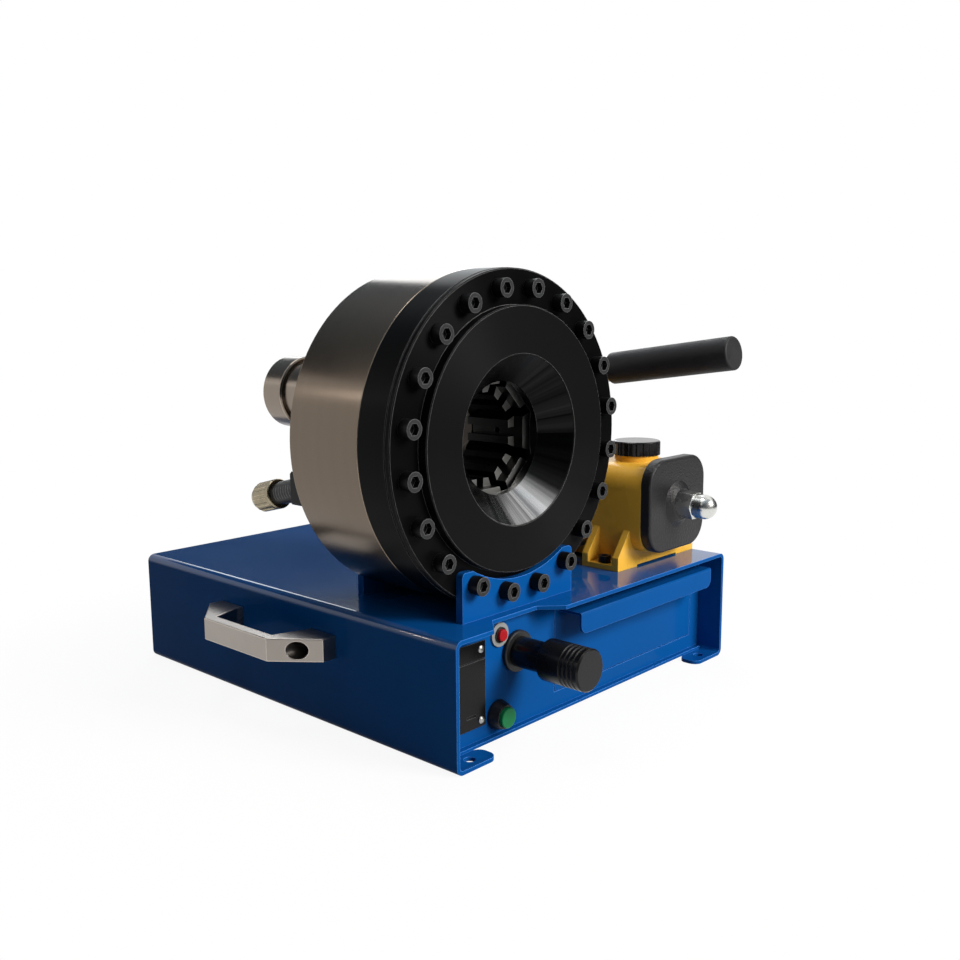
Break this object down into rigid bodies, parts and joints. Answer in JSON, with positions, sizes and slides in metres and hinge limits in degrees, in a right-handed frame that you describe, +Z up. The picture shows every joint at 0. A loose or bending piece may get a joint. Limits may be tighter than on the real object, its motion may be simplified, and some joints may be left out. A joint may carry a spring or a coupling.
{
  "type": "hose crimping machine",
  "caption": "Bench hose crimper: hand pump drives a ring piston that closes eight sliding dies on the fitting of a hydraulic hose, on a sheet steel base.",
  "frame": {"origin": "centre of the four foot holes, on the surface that the machine stands on", "axes": "+X to the operator's right, -Y towards the operator, +Z up; the crimping head lies along Y"},
  "size_m": [0.56, 0.567, 0.4495],
  "materials": {
    "blue_paint": "gloss powder coat",
    "yellow_paint": "gloss enamel",
    "black_paint": "semi-gloss",
    "turned_steel": "turned",
    "die_steel": "hardened, dark, machined ends",
    "black_oxide": "black oxide",
    "zinc_steel": "zinc plated",
    "chrome": "polished",
    "satin_aluminium": "satin anodised",
    "black_plastic": "fine texture",
    "gloss_black": "gloss",
    "rubber": "matt",
    "green_plastic": "gloss",
    "red_plastic": "gloss",
    "white_plastic": "smooth"
  },
  "bodies": {
    "machine_frame": {"base_cover": "blue_paint", "bottom_plate": "blue_paint", "front_panel": "blue_paint", "rear_panel": "blue_paint", "front_saddle": "blue_paint", "rear_saddle": "blue_paint", "drawer_runners": "zinc_steel", "pressure_pipe": "zinc_steel", "pipe_fittings": "zinc_steel", "return_springs": "zinc_steel", "battery_cover_screws": "zinc_steel", "plunger_gland": "zinc_steel", "pivot_pin": "zinc_steel", "end_cap": "black_paint", "micrometer_block": "black_paint", "barrel": "turned_steel", "spring_necks": "turned_steel", "spring_caps": "turned_steel", "flange_bolts": "black_oxide", "bolt_spacers": "black_oxide", "saddle_bolts": "black_oxide", "pump_bolts": "black_oxide", "handle_bolts": "black_oxide", "cylinder_seals": "rubber", "left_handle": "satin_aluminium", "right_handle": "satin_aluminium", "pump_body": "yellow_paint", "tank_cover": "black_plastic", "start_button_bezel": "black_plastic", "tool_holder": "black_plastic", "battery_cover": "black_plastic", "limit_switch": "black_plastic", "stop_button_body": "black_plastic", "micrometer_sleeve": "black_plastic", "dome_nut": "chrome", "stop_button_legend": "white_plastic"},
    "piston": {"piston": "turned_steel", "piston_seals": "rubber", "tail_plate": "turned_steel", "return_rods": "turned_steel"},
    "die_1": {"die_1": "die_steel"},
    "die_2": {"die_2": "die_steel"},
    "die_3": {"die_3": "die_steel"},
    "die_4": {"die_4": "die_steel"},
    "die_5": {"die_5": "die_steel"},
    "die_6": {"die_6": "die_steel"},
    "die_7": {"die_7": "die_steel"},
    "die_8": {"die_8": "die_steel"},
    "lever": {"lever_rocker": "black_oxide", "lever_bar": "turned_steel", "lever_grip": "rubber"},
    "plunger": {"pump_plunger": "turned_steel"},
    "filler_cap": {"filler_cap": "gloss_black"},
    "release_knob": {"release_knob": "black_plastic"},
    "drawer": {"drawer": "blue_paint"},
    "start_button": {"start_button_cap": "green_plastic"},
    "stop_button": {"stop_button_cap": "red_plastic"},
    "die_change_tool": {"die_change_tool": "black_oxide"},
    "micrometer_knob": {"micrometer_knob": "satin_aluminium"},
    "micrometer_spindle": {"micrometer_spindle": "turned_steel"}
  },
  "joints": [
    {"name": "piston_slide", "type": "slide", "parent": "machine_frame", "child": "piston", "axis": [0, -1, 0], "range_m": [0, 0.028], "stiffness_N_per_m": 4000, "springref_m": -0.01, "deforming": ["return_springs"]},
    {"name": "die_1_slide", "type": "slide", "parent": "machine_frame", "child": "die_1", "axis": [-0.4545, -0.766, -0.4545], "range_m": [0, 0.01828]},
    {"name": "die_2_slide", "type": "slide", "parent": "machine_frame", "child": "die_2", "axis": [0, -0.766, -0.6428], "range_m": [0, 0.01828]},
    {"name": "die_3_slide", "type": "slide", "parent": "machine_frame", "child": "die_3", "axis": [0.4545, -0.766, -0.4545], "range_m": [0, 0.01828]},
    {"name": "die_4_slide", "type": "slide", "parent": "machine_frame", "child": "die_4", "axis": [0.6428, -0.766, 0], "range_m": [0, 0.01828]},
    {"name": "die_5_slide", "type": "slide", "parent": "machine_frame", "child": "die_5", "axis": [0.4545, -0.766, 0.4545], "range_m": [0, 0.01828]},
    {"name": "die_6_slide", "type": "slide", "parent": "machine_frame", "child": "die_6", "axis": [0, -0.766, 0.6428], "range_m": [0, 0.01828]},
    {"name": "die_7_slide", "type": "slide", "parent": "machine_frame", "child": "die_7", "axis": [-0.4545, -0.766, 0.4545], "range_m": [0, 0.01828]},
    {"name": "die_8_slide", "type": "slide", "parent": "machine_frame", "child": "die_8", "axis": [-0.6428, -0.766, 0], "range_m": [0, 0.01828]},
    {"name": "lever_swing", "type": "hinge", "parent": "machine_frame", "child": "lever", "pos_m": [0.145, -0.022, 0.2707], "axis": [-1, 0, 0], "range_deg": [0, 40]},
    {"name": "plunger_slide", "type": "slide", "parent": "machine_frame", "child": "plunger", "axis": [0, 0, 1], "range_m": [0, 0.0206]},
    {"name": "filler_cap_turn", "type": "hinge", "parent": "machine_frame", "child": "filler_cap", "pos_m": [0.145, -0.185, 0.25], "axis": [0, 0, 1], "range_deg": [0, 720]},
    {"name": "release_turn", "type": "hinge", "parent": "machine_frame", "child": "release_knob", "pos_m": [0.19, -0.04, 0.165], "axis": [1, 0, 0], "range_deg": [0, 180]},
    {"name": "drawer_slide", "type": "slide", "parent": "machine_frame", "child": "drawer", "axis": [0, -1, 0], "range_m": [0, 0.22]},
    {"name": "start_button_push", "type": "slide", "parent": "machine_frame", "child": "start_button", "axis": [0, 1, 0], "range_m": [0, 0.004], "stiffness_N_per_m": 300},
    {"name": "stop_button_push", "type": "slide", "parent": "machine_frame", "child": "stop_button", "axis": [0, 1, 0], "range_m": [0, 0.002], "stiffness_N_per_m": 300},
    {"name": "tool_slide", "type": "slide", "parent": "machine_frame", "child": "die_change_tool", "axis": [0, -1, 0], "range_m": [0, 0.05]},
    {"name": "spindle_slide", "type": "slide", "parent": "machine_frame", "child": "micrometer_spindle", "axis": [0, 0.9703, -0.2419], "range_m": [0, 0.01]},
    {"name": "micrometer_turn", "type": "hinge", "parent": "micrometer_spindle", "child": "micrometer_knob", "pos_m": [-0.23887, -0.068, 0.24286], "axis": [0, 0.9703, -0.2419], "range_deg": [0, 3600]}
  ],
  "couplings": [
    {"joint": "die_1_slide", "follows": "piston_slide", "ratio": 0.6527},
    {"joint": "die_2_slide", "follows": "piston_slide", "ratio": 0.6527},
    {"joint": "die_3_slide", "follows": "piston_slide", "ratio": 0.6527},
    {"joint": "die_4_slide", "follows": "piston_slide", "ratio": 0.6527},
    {"joint": "die_5_slide", "follows": "piston_slide", "ratio": 0.6527},
    {"joint": "die_6_slide", "follows": "piston_slide", "ratio": 0.6527},
    {"joint": "die_7_slide", "follows": "piston_slide", "ratio": 0.6527},
    {"joint": "die_8_slide", "follows": "piston_slide", "ratio": 0.6527},
    {"joint": "plunger_slide", "follows": "lever_swing", "m_per_rad": 0.02946},
    {"joint": "micrometer_turn", "follows": "spindle_slide", "rad_per_m": 6283.2}
  ]
}
